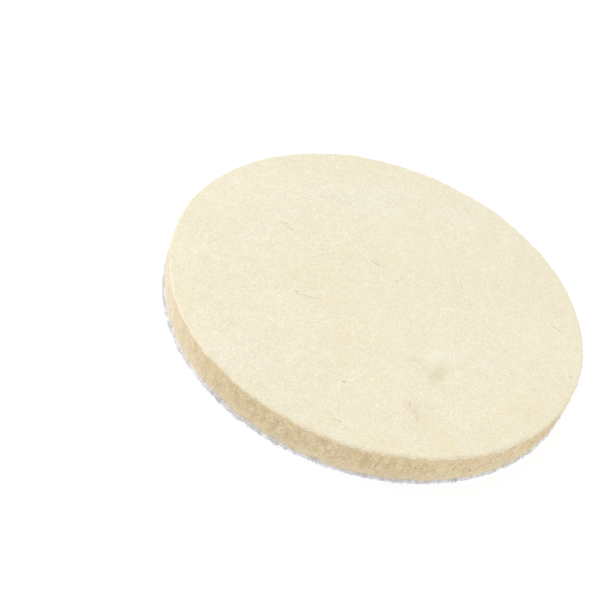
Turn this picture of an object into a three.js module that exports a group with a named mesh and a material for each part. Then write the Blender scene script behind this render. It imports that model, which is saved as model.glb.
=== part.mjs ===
// Felt polishing wheel: a die-cut disc of pressed wool felt, bonded by a hot-melt film to a
// hook-and-loop fabric whose looped pile grips the hooks of a backing plate.
// Millimetres, +Z up. The origin is the centre of the pile's contact face, and +Z is the axis
// that the wheel spins about, pointing out of the felt's working face.
import * as THREE from "three";

// Driving dimensions.
const WHEEL_DIAMETER = 125;
const FELT_THICKNESS = 9.8;
const FILM_THICKNESS = 0.3;
const CLOTH_THICKNESS = 0.4;
const PILE_HEIGHT = 1.2;

// The felt's working edge is worn soft by the die, and its lower edge is cut nearly square.
const WORKING_EDGE_RADIUS = 0.7;
const CUT_EDGE_RADIUS = 0.2;
// The film stops short of the rim so that it doesn't squeeze out, and the loops lean out past it.
const FILM_INSET = 0.4;
const PILE_OVERHANG = 0.3;
const PILE_EDGE_RADIUS = 0.35;

// A multiple of four, so that the wheel is equally wide along X and Y.
const TURN_SEGMENTS = 144;
const EDGE_STEPS = 3;

// Levels of the stack, from the pile's contact face up to the working face.
const WHEEL_RADIUS = WHEEL_DIAMETER / 2;
const PILE_TOP = PILE_HEIGHT;
const CLOTH_TOP = PILE_TOP + CLOTH_THICKNESS;
const FILM_TOP = CLOTH_TOP + FILM_THICKNESS;
const FELT_TOP = FILM_TOP + FELT_THICKNESS;

// One quarter turn of a rounded edge, from startAngle, about a centre in the profile plane.
// A square edge is the one point at its centre.
function roundedCorner(centreRadius, centreLevel, edgeRadius, startAngle) {
  if (edgeRadius === 0) {
    return [new THREE.Vector2(centreRadius, centreLevel)];
  }
  const points = [];
  for (let step = 0; step <= EDGE_STEPS; step += 1) {
    const angle = startAngle + (step / EDGE_STEPS) * (Math.PI / 2);
    points.push(
      new THREE.Vector2(
        centreRadius + edgeRadius * Math.cos(angle),
        centreLevel + edgeRadius * Math.sin(angle),
      ),
    );
  }
  return points;
}

// A flat round layer about +Z between two levels. Its edges are square unless given a radius.
function layerGeometry({ radius, bottom, top, lowerEdge = 0, upperEdge = 0 }) {
  const profile = [
    new THREE.Vector2(0, bottom),
    ...roundedCorner(radius - lowerEdge, bottom + lowerEdge, lowerEdge, -Math.PI / 2),
    ...roundedCorner(radius - upperEdge, top - upperEdge, upperEdge, 0),
    new THREE.Vector2(0, top),
  ];
  return new THREE.LatheGeometry(profile, TURN_SEGMENTS).rotateX(Math.PI / 2);
}

function namedMesh(name, geometry, material) {
  const mesh = new THREE.Mesh(geometry, material);
  mesh.name = name;
  return mesh;
}

// The working part: one thick disc of pressed wool felt.
function feltDisc() {
  const wool = new THREE.MeshStandardMaterial({
    color: 0xf0e8cf,
    roughness: 0.95,
    metalness: 0,
  });
  const geometry = layerGeometry({
    radius: WHEEL_RADIUS,
    bottom: FILM_TOP,
    top: FELT_TOP,
    lowerEdge: CUT_EDGE_RADIUS,
    upperEdge: WORKING_EDGE_RADIUS,
  });
  return namedMesh("felt_disc", geometry, wool);
}

// The hot-melt film that bonds the felt to the fabric.
function adhesiveFilm() {
  const glue = new THREE.MeshStandardMaterial({
    color: 0xe6dfc8,
    roughness: 0.45,
    metalness: 0,
  });
  const geometry = layerGeometry({
    radius: WHEEL_RADIUS - FILM_INSET,
    bottom: CLOTH_TOP,
    top: FILM_TOP,
  });
  return namedMesh("adhesive_film", geometry, glue);
}

// The knitted ground of the loop fabric, which the film holds.
function loopGroundCloth() {
  const knit = new THREE.MeshStandardMaterial({
    color: 0xeceaf0,
    roughness: 0.9,
    metalness: 0,
  });
  const geometry = layerGeometry({
    radius: WHEEL_RADIUS,
    bottom: PILE_TOP,
    top: CLOTH_TOP,
  });
  return namedMesh("loop_ground_cloth", geometry, knit);
}

// The room that the raised loops of the fabric take up, as one soft layer.
function loopPile() {
  const loops = new THREE.MeshStandardMaterial({
    color: 0xf4f3f8,
    roughness: 1,
    metalness: 0,
  });
  const geometry = layerGeometry({
    radius: WHEEL_RADIUS + PILE_OVERHANG,
    bottom: 0,
    top: PILE_TOP,
    lowerEdge: PILE_EDGE_RADIUS,
    upperEdge: PILE_EDGE_RADIUS,
  });
  return namedMesh("loop_pile", geometry, loops);
}

const wheel = new THREE.Group();
wheel.add(feltDisc());
wheel.add(adhesiveFilm());
wheel.add(loopGroundCloth());
wheel.add(loopPile());

export default wheel;
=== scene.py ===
"""Builds a felt polishing wheel: a disc of pressed wool felt glued to a looped backing cloth.

Lengths are in metres. +Z is the axis that the wheel spins about, the working face looks up, and
the origin is the centre of the loop pile's contact face.
"""

import math
from collections import namedtuple

import bmesh
import bpy
from mathutils import Matrix, Vector
from mathutils.bvhtree import BVHTree


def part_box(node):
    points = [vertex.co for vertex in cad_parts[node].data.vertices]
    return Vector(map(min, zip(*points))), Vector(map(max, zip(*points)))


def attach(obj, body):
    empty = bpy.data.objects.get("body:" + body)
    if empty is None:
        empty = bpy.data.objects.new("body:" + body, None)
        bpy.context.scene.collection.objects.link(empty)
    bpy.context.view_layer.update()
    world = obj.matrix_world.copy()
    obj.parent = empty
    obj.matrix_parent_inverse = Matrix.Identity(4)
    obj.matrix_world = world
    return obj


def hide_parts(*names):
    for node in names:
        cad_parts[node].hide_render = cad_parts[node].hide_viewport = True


bl_info = {
    "name": "Felt Polishing Wheel",
    "version": (1, 0, 0),
    "blender": (4, 5, 0),
    "location": "3D View > Sidebar > Felt Wheel",
    "description": "Builds a pressed wool felt polishing wheel on a looped backing cloth",
    "category": "Add Mesh",
}

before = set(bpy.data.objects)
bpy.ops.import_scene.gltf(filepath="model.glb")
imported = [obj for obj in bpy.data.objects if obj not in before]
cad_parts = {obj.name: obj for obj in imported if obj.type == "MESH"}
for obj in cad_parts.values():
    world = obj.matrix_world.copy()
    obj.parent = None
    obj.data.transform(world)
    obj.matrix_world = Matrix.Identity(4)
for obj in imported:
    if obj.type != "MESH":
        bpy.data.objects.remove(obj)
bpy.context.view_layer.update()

MM = 0.001
PER_SQUARE_MM = 1e6
BODY = "root"
UPWARDS = Vector((0.0, 0.0, 1.0))

FELT_LOW, FELT_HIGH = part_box("felt_disc")
FILM_LOW, FILM_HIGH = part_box("adhesive_film")
CLOTH_LOW, CLOTH_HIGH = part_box("loop_ground_cloth")
PILE_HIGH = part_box("loop_pile")[1]
FELT_RADIUS = FELT_HIGH.x
FILM_RADIUS = FILM_HIGH.x
CLOTH_RADIUS = CLOTH_HIGH.x
PILE_RADIUS = PILE_HIGH.x

FELT_CELLS = 230
WALL_ROWS = 20
LAYER_CELLS = 150
MAT_COLUMNS = 1500
FRINGE_LOOPS = 5000
DENT_CENTRE = (23.0 * MM, -27.0 * MM, 0.0)
# How far in from the rim, in millimetres, the cut edge's wander begins and is complete.
WANDER_STARTS = 4.0
WANDER_ENDS = 0.5
# The side, seen from above, on which the pile has been pressed flat.
FLAT_SIDE = (0.85, -0.53)

LENS_MM = 60.0
SENSOR_MM = 36.0
FLOOR_LEVEL = -0.1 * MM
FLOOR_REACH = 7.0
FLOOR_SIDES = 64
BACKDROP_REACH = 7.14
SUN_AWAY = 1.0
SUN_SPREAD = math.radians(50)
SUN_SIDE = Vector((-0.45, 0.35, 0.85))
LAMP_AWAY = 0.45
LAMP_SIZE = 0.25
SOFTBOX_SIDE = Vector((-0.85, -0.1, 0.75))
CARD_SIDE = Vector((0.95, -0.1, 0.3))
FILL_SHARE = 0.55
WHITE = (1.0, 1.0, 1.0, 1.0)
BLACK = (0.0, 0.0, 0.0, 1.0)

# Marks, hairs and burrs that are placed one by one. Lengths are in millimetres and angles in degrees.
FaceMark = namedtuple("FaceMark", "x y length width turn strength colour")
WallMark = namedtuple("WallMark", "turn level width height strength colour")
Hair = namedtuple("Hair", "x y heading bend length")
Burr = namedtuple("Burr", "turn level length")

# Where fibres are scattered: how many to a square millimetre, and between which two rises of the
# felt's normal, from -1 where it looks down to 1 where it looks up.
Bed = namedtuple("Bed", "density lowest highest")
FACE_BED = Bed(0.47, 0.6, 1.1)
RIM_BED = Bed(4.5, 0.05, 0.85)
WALL_BED = Bed(1.3, -0.6, 0.15)
COARSE_BED = Bed(0.0025, 0.6, 1.1)
SPECK_BED = Bed(0.006, -0.2, 1.1)
BED_INPUTS = ("Density", "Lowest Tilt", "Highest Tilt")

# A soiled dent in the working face, the pale ridge that it pushed up, and smudges.
FACE_MARKS = (
    FaceMark(21.0, -20.8, 13.0, 6.5, 65, 0.32, "bleach"),
    FaceMark(23.4, -27.4, 14.0, 7.0, 77, 0.5, "soil"),
    FaceMark(15.6, -25.2, 8.5, 4.5, 20, 0.4, "smoke"),
    FaceMark(-3.5, 9.0, 10.0, 5.0, -20, 0.25, "smoke"),
    FaceMark(20.0, -42.4, 13.0, 6.0, -53, 0.24, "rust"),
    FaceMark(-35.2, -17.2, 7.5, 1.8, 0, 0.6, "face_warm"),
)
# Marks on the cut wall: how far round, how high, and how wide and high they are.
WALL_MARKS = (
    WallMark(-78.3, 7.2, 2.4, 10.0, 0.6, "wall_dark"),
    WallMark(-80.6, 6.6, 2.0, 6.0, 0.5, "wall_gold"),
    WallMark(-61.8, 8.6, 4.0, 4.0, 0.6, "wall_gold"),
    WallMark(-104.0, 8.0, 2.0, 8.0, 0.55, "wall_dark"),
    WallMark(-121.0, 8.8, 5.0, 4.0, 0.45, "wall_gold"),
    # Painted light: a broad pale patch over the left of the wall, the side that faces the lamps.
    WallMark(-170.0, 5.0, 110.0, 30.0, 0.75, "wall_faded"),
    WallMark(-97.5, 5.2, 1.6, 5.0, 0.5, "wall_dark"),
    WallMark(-70.5, 5.0, 5.0, 2.6, 0.4, "wall_gold"),
    WallMark(60.0, 7.0, 3.0, 8.0, 0.6, "wall_dark"),
    WallMark(165.0, 7.5, 4.0, 6.0, 0.5, "wall_gold"),
)
# Coarse hairs on the working face. Each starts at x and y and turns through its bend.
PALE_HAIRS = (
    Hair(-19.3, 19.5, -46, 14, 17.5),
    Hair(19.6, 3.6, -104, 26, 8.8),
    Hair(24.6, -13.5, -62, -20, 8.2),
    Hair(30.3, -36.0, -12, 105, 12.0),
    Hair(-46.0, -41.2, -66, 12, 5.0),
    Hair(-7.0, -44.0, 40, -60, 7.0),
)
DARK_HAIRS = (
    Hair(-36.1, 9.9, -20, 60, 4.5),
    Hair(-33.4, 8.2, 30, -120, 3.5),
    Hair(-21.8, -17.6, 4, 14, 7.5),
    Hair(-6.3, 8.9, -30, 28, 4.0),
    Hair(50.3, 12.1, -24, 12, 6.0),
    Hair(1.0, -56.6, 30, -60, 3.0),
)
RUST_HAIRS = (
    Hair(18.2, -39.7, -62, -15, 2.6),
    Hair(19.8, -41.9, -58, 12, 2.4),
    Hair(21.4, -44.2, -84, 20, 1.7),
)
# Specks of burr pressed into the cut wall: how far round, how high, and how long.
WALL_BURRS = (
    Burr(-50.9, 5.0, 1.0),
    Burr(-75.4, 6.1, 0.6),
    Burr(-76.6, 6.0, 0.5),
    Burr(-93.0, 8.9, 0.45),
    Burr(40.0, 7.0, 0.7),
    Burr(128.0, 4.2, 0.6),
)


# ---------------------------------------------------------------- node trees


class Field:
    """A socket in a node tree. Operators on it add the Math or Vector Math nodes they stand for."""

    def __init__(self, nodes, socket):
        self.nodes = nodes
        self.socket = socket

    def __add__(self, other):
        return self.nodes.maths("ADD", self, other)

    def __radd__(self, other):
        return self.nodes.maths("ADD", other, self)

    def __sub__(self, other):
        return self.nodes.maths("SUBTRACT", self, other)

    def __rsub__(self, other):
        return self.nodes.maths("SUBTRACT", other, self)

    def __mul__(self, other):
        return self.nodes.maths("MULTIPLY", self, other)

    def __rmul__(self, other):
        return self.nodes.maths("MULTIPLY", other, self)

    def __truediv__(self, other):
        return self.nodes.maths("DIVIDE", self, other)

    def __pow__(self, other):
        return self.nodes.maths("POWER", self, other)

    def __abs__(self):
        return self.nodes.maths("ABSOLUTE", self)

    def __gt__(self, other):
        return self.nodes.maths("GREATER_THAN", self, other)

    def __lt__(self, other):
        return self.nodes.maths("LESS_THAN", self, other)

    def output(self, name):
        """Another output of the same node."""
        return Field(self.nodes, self.socket.node.outputs[name])

    def is_vector(self):
        return self.socket.type in {"VECTOR", "RGBA"}


class Nodes:
    """Adds nodes to one shader tree or geometry tree."""

    def __init__(self, tree):
        self.tree = tree

    def node(self, kind, settings=None, inputs=None, output=0):
        """One node: its settings first, then a value or a link for each named or numbered input."""
        made = self.tree.nodes.new(kind)
        for name, setting in (settings or {}).items():
            setattr(made, name, setting)
        for name, value in (inputs or {}).items():
            self.feed(made.inputs[name], value)
        return Field(self, made.outputs[output]) if made.outputs else None

    def feed(self, socket, value):
        """Links a field to a socket, or sets the socket's own value."""
        if isinstance(value, Field):
            self.tree.links.new(value.socket, socket)
        else:
            socket.default_value = value

    def maths(self, operation, *terms):
        """A Math node on numbers, or a Vector Math node where a term is a vector."""
        vectors = [isinstance(t, tuple) or (isinstance(t, Field) and t.is_vector()) for t in terms]
        if not any(vectors):
            return self.node("ShaderNodeMath", {"operation": operation}, dict(enumerate(terms)))
        if operation == "MULTIPLY" and not all(vectors):
            vector, number = terms if vectors[0] else reversed(terms)
            inputs = {0: vector, "Scale": number}
            return self.node("ShaderNodeVectorMath", {"operation": "SCALE"}, inputs)
        return self.node("ShaderNodeVectorMath", {"operation": operation}, dict(enumerate(terms)))

    def step(self, value, low, high, to_low=0.0, to_high=1.0):
        """A smooth step of value from low to high."""
        inputs = {"Value": value, "From Min": low, "From Max": high, "To Min": to_low, "To Max": to_high}
        return self.node("ShaderNodeMapRange", {"interpolation_type": "SMOOTHSTEP"}, inputs)

    def noise(self, at, scale, detail=2.0, roughness=0.5, output="Fac"):
        """Noise from 0 to 1 about one half, with scale lumps to a unit of length."""
        inputs = {"Vector": at, "Scale": scale, "Detail": detail, "Roughness": roughness}
        return self.node("ShaderNodeTexNoise", {}, inputs, output)

    def signed_noise(self, at, scale, detail=2.0, roughness=0.5):
        """Noise from -1 to 1."""
        return (self.noise(at, scale, detail, roughness) - 0.5) * 2.0

    def split(self, vector):
        """A vector's three numbers."""
        parts = self.node("ShaderNodeSeparateXYZ", {}, {0: vector})
        return parts, parts.output("Y"), parts.output("Z")

    def join(self, x, y, z):
        """A vector of three numbers."""
        return self.node("ShaderNodeCombineXYZ", {}, {0: x, 1: y, 2: z})

    def length(self, vector):
        """A vector's length."""
        return self.node("ShaderNodeVectorMath", {"operation": "LENGTH"}, {0: vector}, "Value")

    def blend(self, share, first, second):
        """The first colour where share is 0, and the second where it is 1."""
        inputs = {0: share, 6: first, 7: second}
        return self.node("ShaderNodeMix", {"data_type": "RGBA"}, inputs, 2)


class MaterialTree(Nodes):
    """The node tree of a new material."""

    def __init__(self, name):
        self.material = bpy.data.materials.new(name)
        self.material.use_nodes = True
        super().__init__(self.material.node_tree)
        self.tree.nodes.clear()

    def place(self):
        """Object coordinates, in metres."""
        return self.node("ShaderNodeTexCoord", {}, {}, "Object")

    def stored(self, name):
        """A number that the mesh stores under that name."""
        return self.node("ShaderNodeAttribute", {"attribute_name": name}, {}, "Fac")

    def bump(self, height, strength, distance):
        """A normal that a height has disturbed."""
        inputs = {"Strength": strength, "Distance": distance, "Height": height}
        return self.node("ShaderNodeBump", {}, inputs)

    def finish(self, inputs):
        """The finished material: a Principled shader with those values and links."""
        shader = self.node("ShaderNodeBsdfPrincipled", {}, inputs)
        self.node("ShaderNodeOutputMaterial", {}, {"Surface": shader})
        return self.material


class GeometryTree(Nodes):
    """A Geometry Nodes tree with named inputs, the last of which is its material."""

    def __init__(self, name, floats=(), ints=(), vectors=()):
        super().__init__(bpy.data.node_groups.new(name, "GeometryNodeTree"))
        interface = self.tree.interface
        interface.new_socket("Geometry", in_out="INPUT", socket_type="NodeSocketGeometry")
        interface.new_socket("Geometry", in_out="OUTPUT", socket_type="NodeSocketGeometry")
        kinds = {"Float": floats, "Int": ints, "Vector": vectors, "Material": ("Material",)}
        self.identifiers = {}
        for kind, labels in kinds.items():
            for label in labels:
                made = interface.new_socket(label, in_out="INPUT", socket_type="NodeSocket" + kind)
                self.identifiers[label] = made.identifier
        self.group_input = self.node("NodeGroupInput")

    def given(self, label):
        """One of the tree's named inputs."""
        return self.group_input.output(label)

    def finish(self, geometry):
        """Ends the tree, with its instances made real and its material set."""
        real = self.node("GeometryNodeRealizeInstances", {}, {"Geometry": geometry})
        inputs = {"Geometry": real, "Material": self.given("Material")}
        finished = self.node("GeometryNodeSetMaterial", {}, inputs)
        self.node("NodeGroupOutput", {}, {"Geometry": finished})

    def random(self, low, high, seed):
        """A random number for each point."""
        return self.node("FunctionNodeRandomValue", {"data_type": "FLOAT"}, {2: low, 3: high, 8: seed}, 1)

    def position(self):
        return self.node("GeometryNodeInputPosition")

    def normal(self):
        return self.node("GeometryNodeInputNormal")

    def move(self, geometry, position=None, offset=None):
        """Sets the points' position, or adds an offset to it."""
        inputs = {"Geometry": geometry}
        if position is not None:
            inputs["Position"] = position
        if offset is not None:
            inputs["Offset"] = offset
        return self.node("GeometryNodeSetPosition", {}, inputs)

    def named(self, geometry, name, value, kind="FLOAT", domain="POINT"):
        """Stores a named attribute."""
        settings = {"data_type": kind, "domain": domain}
        inputs = {"Geometry": geometry, "Name": name, "Value": value}
        return self.node("GeometryNodeStoreNamedAttribute", settings, inputs)

    def attribute(self, name):
        """A named number stored earlier."""
        return self.node("GeometryNodeInputNamedAttribute", {"data_type": "FLOAT"}, {"Name": name})

    def about(self, axis, angle):
        """A rotation about an axis."""
        return self.node("FunctionNodeAxisAngleToRotation", {}, {"Axis": axis, "Angle": angle})

    def turned(self, rotation, further):
        """A rotation turned further, about its own axes."""
        inputs = {"Rotation": rotation, "Rotate By": further}
        return self.node("FunctionNodeRotateRotation", {"rotation_space": "LOCAL"}, inputs)

    def bed_points(self, seed):
        """Points strewn over a bed of the tree's own mesh. Their Rotation output stands them on it."""
        _, _, tilt = self.split(self.normal())
        chosen = (tilt > self.given("Lowest Tilt")) * (tilt < self.given("Highest Tilt"))
        inputs = {"Mesh": self.given("Geometry"), "Density": self.given("Density") * chosen, "Seed": seed}
        return self.node("GeometryNodeDistributePointsOnFaces", {"distribute_method": "RANDOM"}, inputs)

    def on_points(self, points, shape, rotation, scale):
        """A copy of a shape on each point, as real geometry."""
        inputs = {"Points": points, "Instance": shape, "Rotation": rotation, "Scale": scale}
        placed = self.node("GeometryNodeInstanceOnPoints", {}, inputs)
        return self.node("GeometryNodeRealizeInstances", {}, {"Geometry": placed})

    def line(self, start, end, count):
        """A straight curve of so many points."""
        line = self.node("GeometryNodeCurvePrimitiveLine", {}, {"Start": start, "End": end})
        return self.node("GeometryNodeResampleCurve", {}, {"Curve": line, "Count": count})

    def tube(self, curve, sides, radius):
        """A closed tube of that radius along a curve."""
        profile = self.node("GeometryNodeCurvePrimitiveCircle", {}, {"Resolution": sides, "Radius": 1.0})
        inputs = {"Curve": curve, "Profile Curve": profile, "Scale": radius, "Fill Caps": True}
        mesh = self.node("GeometryNodeCurveToMesh", {}, inputs)
        return self.node("GeometryNodeSetShadeSmooth", {}, {"Geometry": mesh})


def made_by(tree, name, source, values):
    """A plain mesh object that a geometry tree makes from a source mesh, with the inputs given."""
    piece = bpy.data.objects.new(name, source)
    bpy.context.scene.collection.objects.link(piece)
    modifier = piece.modifiers.new("build", "NODES")
    modifier.node_group = tree.tree
    for label, value in values.items():
        modifier[tree.identifiers[label]] = value
    depsgraph = bpy.context.evaluated_depsgraph_get()
    evaluated = piece.evaluated_get(depsgraph)
    mesh = bpy.data.meshes.new_from_object(evaluated, preserve_all_data_layers=True, depsgraph=depsgraph)
    piece.modifiers.clear()
    piece.data = mesh
    mesh.name = name
    return piece


# ---------------------------------------------------------------- plain meshes


def disc_grid(radius, cells):
    """Grid points on a disc, by rows, from squares pulled out to circles about the centre."""
    points = []
    for row in range(cells + 1):
        for column in range(cells + 1):
            a = 2 * column / cells - 1
            b = 2 * row / cells - 1
            if a == 0 and b == 0:
                points.append((0.0, 0.0))
                continue
            if abs(a) > abs(b):
                reach = a * radius
                turn = b / a * math.pi / 4
            else:
                reach = b * radius
                turn = math.pi / 2 - a / b * math.pi / 4
            points.append((reach * math.cos(turn), reach * math.sin(turn)))
    return points


def grid_border(cells):
    """The border of a grid of cells, as point numbers, anticlockwise from its lowest corner."""
    side = cells + 1
    south = [column for column in range(cells)]
    east = [row * side + cells for row in range(cells)]
    north = [cells * side + column for column in range(cells, 0, -1)]
    west = [row * side for row in range(cells, 0, -1)]
    return south + east + north + west


def round_block(name, profile, cells):
    """A closed disc: a grid on top, then rings that follow the profile down to a fan below.

    The profile is a list of (radius, level) pairs from the edge of the top grid downwards.
    """
    top_radius, top_level = profile[0]
    points = [(x, y, top_level) for x, y in disc_grid(top_radius, cells)]
    side = cells + 1
    faces = []
    for row in range(cells):
        for column in range(cells):
            corner = row * side + column
            faces.append((corner, corner + 1, corner + side + 1, corner + side))
    ring = grid_border(cells)
    turns = [math.atan2(points[i][1], points[i][0]) for i in ring]
    count = len(ring)
    for radius, level in profile[1:]:
        first = len(points)
        points.extend((radius * math.cos(t), radius * math.sin(t), level) for t in turns)
        lower = list(range(first, first + count))
        for i in range(count):
            j = (i + 1) % count
            faces.append((ring[i], lower[i], lower[j], ring[j]))
        ring = lower
    points.append((0.0, 0.0, profile[-1][1]))
    pole = len(points) - 1
    faces.extend((ring[i], pole, ring[(i + 1) % count]) for i in range(count))
    mesh = bpy.data.meshes.new(name)
    mesh.from_pydata(points, [], faces)
    mesh.shade_smooth()
    return mesh


def laid_hairs(name, hairs, thickness, surface, material):
    """Closed, tapering tubes that lie on a surface, one for each hair."""
    steps = 14
    sides = 5
    built = bmesh.new()
    for hair in hairs:
        heading = math.radians(hair.heading)
        stride = hair.length * MM / steps
        at = Vector((hair.x * MM, hair.y * MM, FELT_HIGH.z + 3 * MM))
        path = []
        for step in range(steps + 1):
            hit, normal, _, _ = surface.find_nearest(at)
            share = step / steps
            rise = thickness * (0.05 + 0.35 * math.sin(math.pi * share))
            path.append(hit + normal * rise)
            wave = math.radians(9) * math.sin(2.3 * step + hair.x)
            at = hit + Vector((math.cos(heading + wave), math.sin(heading + wave), 0.0)) * stride
            heading += math.radians(hair.bend) / steps
        rings = []
        for step, point in enumerate(path):
            ahead = path[min(step + 1, steps)] - path[max(step - 1, 0)]
            side = ahead.cross(UPWARDS).normalized()
            above = side.cross(ahead).normalized()
            radius = thickness / 2 * (1 - 0.75 * abs(2 * step / steps - 1) ** 3)
            angles = [math.tau * k / sides for k in range(sides)]
            rings.append(
                [built.verts.new(point + radius * (side * math.cos(a) + above * math.sin(a))) for a in angles]
            )
        for lower, upper in zip(rings, rings[1:]):
            for k in range(sides):
                j = (k + 1) % sides
                built.faces.new((lower[k], lower[j], upper[j], upper[k]))
        built.faces.new(rings[0])
        built.faces.new(rings[-1])
    return plain_piece(name, built, material)


def wall_burrs(name, burrs, surface, material):
    """Small flakes pressed half way into the cut wall."""
    built = bmesh.new()
    for burr in burrs:
        turn = math.radians(burr.turn)
        outside = Vector((math.cos(turn), math.sin(turn), 0.0)) * FELT_RADIUS * 1.02
        hit, normal, _, _ = surface.find_nearest(outside + Vector((0.0, 0.0, burr.level * MM)))
        length = burr.length * MM
        turned = normal.to_track_quat("Z", "Y").to_matrix().to_4x4()
        size = Matrix.Diagonal((length, length * 0.35, length * 0.3, 1.0))
        tilt = Matrix.Rotation(math.radians(25), 4, "Z")
        bmesh.ops.create_icosphere(
            built, subdivisions=2, radius=0.5, matrix=Matrix.Translation(hit) @ turned @ tilt @ size
        )
    return plain_piece(name, built, material)


def finished_mesh(name, built):
    """A smooth mesh of a bmesh, with its faces turned outwards."""
    bmesh.ops.recalc_face_normals(built, faces=built.faces)
    mesh = bpy.data.meshes.new(name)
    built.to_mesh(mesh)
    built.free()
    mesh.shade_smooth()
    return mesh


def plain_piece(name, built, material):
    """A smooth object of a bmesh."""
    mesh = finished_mesh(name, built)
    mesh.materials.append(material)
    piece = bpy.data.objects.new(name, mesh)
    bpy.context.scene.collection.objects.link(piece)
    return piece


def round_ring(name, section, count):
    """A closed ring about the axis whose section is a closed outline of (radius, level) pairs."""
    built = bmesh.new()
    columns = []
    for turn in range(count):
        across = math.cos(math.tau * turn / count)
        along = math.sin(math.tau * turn / count)
        columns.append([built.verts.new((reach * across, reach * along, level)) for reach, level in section])
    for before, after in zip(columns, columns[1:] + columns[:1]):
        for i in range(len(section)):
            j = (i + 1) % len(section)
            built.faces.new((before[i], before[j], after[j], after[i]))
    return finished_mesh(name, built)


def arc(centre_radius, centre_level, edge_radius, start, end, steps):
    """Profile points round a corner, between two angles in degrees."""
    angles = [math.radians(start + (end - start) * i / steps) for i in range(steps + 1)]
    return [
        (centre_radius + edge_radius * math.cos(a), centre_level + edge_radius * math.sin(a))
        for a in angles
    ]


def wall(radius, top, bottom, rows):
    """Profile points down an upright wall, without its two ends."""
    return [(radius, top + (bottom - top) * i / rows) for i in range(1, rows)]


def underside(radius, level):
    """Profile points on a block's flat underside, between its edge and its centre."""
    return [(radius * 0.97, level), (radius * 0.5, level)]


# ---------------------------------------------------------------- materials


def fibre_lines(nodes, place, heading, width, length):
    """Bright streaks that lie along one heading, each about as wide and long as given, in mm."""
    turned = nodes.node(
        "ShaderNodeMapping",
        {"vector_type": "POINT"},
        {"Vector": place, "Rotation": (0.0, 0.0, math.radians(heading))},
    )
    squeezed = turned * (1 / length, 1 / width, 1 / width)
    return nodes.step(nodes.noise(squeezed, 1.0, 1.0), 0.42, 0.68)


def soft_spot(nodes, place, centre, size, core, strength, turn=0.0):
    """A spot of that size about a centre: its full strength in the core, and 0 outside."""
    inputs = {"Vector": place, "Location": centre, "Rotation": (0.0, 0.0, turn), "Scale": size}
    moved = nodes.node("ShaderNodeMapping", {"vector_type": "TEXTURE"}, inputs)
    return nodes.step(nodes.length(moved), 1.0, core, 0.0, strength)


def face_spot(nodes, flat_place, mark):
    """A mark on the working face."""
    centre = (mark.x, mark.y, 0.0)
    size = (mark.length / 2, mark.width / 2, 1.0)
    return soft_spot(nodes, flat_place, centre, size, 0.1, mark.strength, math.radians(mark.turn))


def wall_spot(nodes, place, mark):
    """A mark on the cut wall."""
    turn = math.radians(mark.turn)
    centre = (FELT_RADIUS / MM * math.cos(turn), FELT_RADIUS / MM * math.sin(turn), mark.level)
    size = (mark.width / 2, mark.width / 2, mark.height / 2)
    return soft_spot(nodes, place, centre, size, 0.3, mark.strength)


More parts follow.
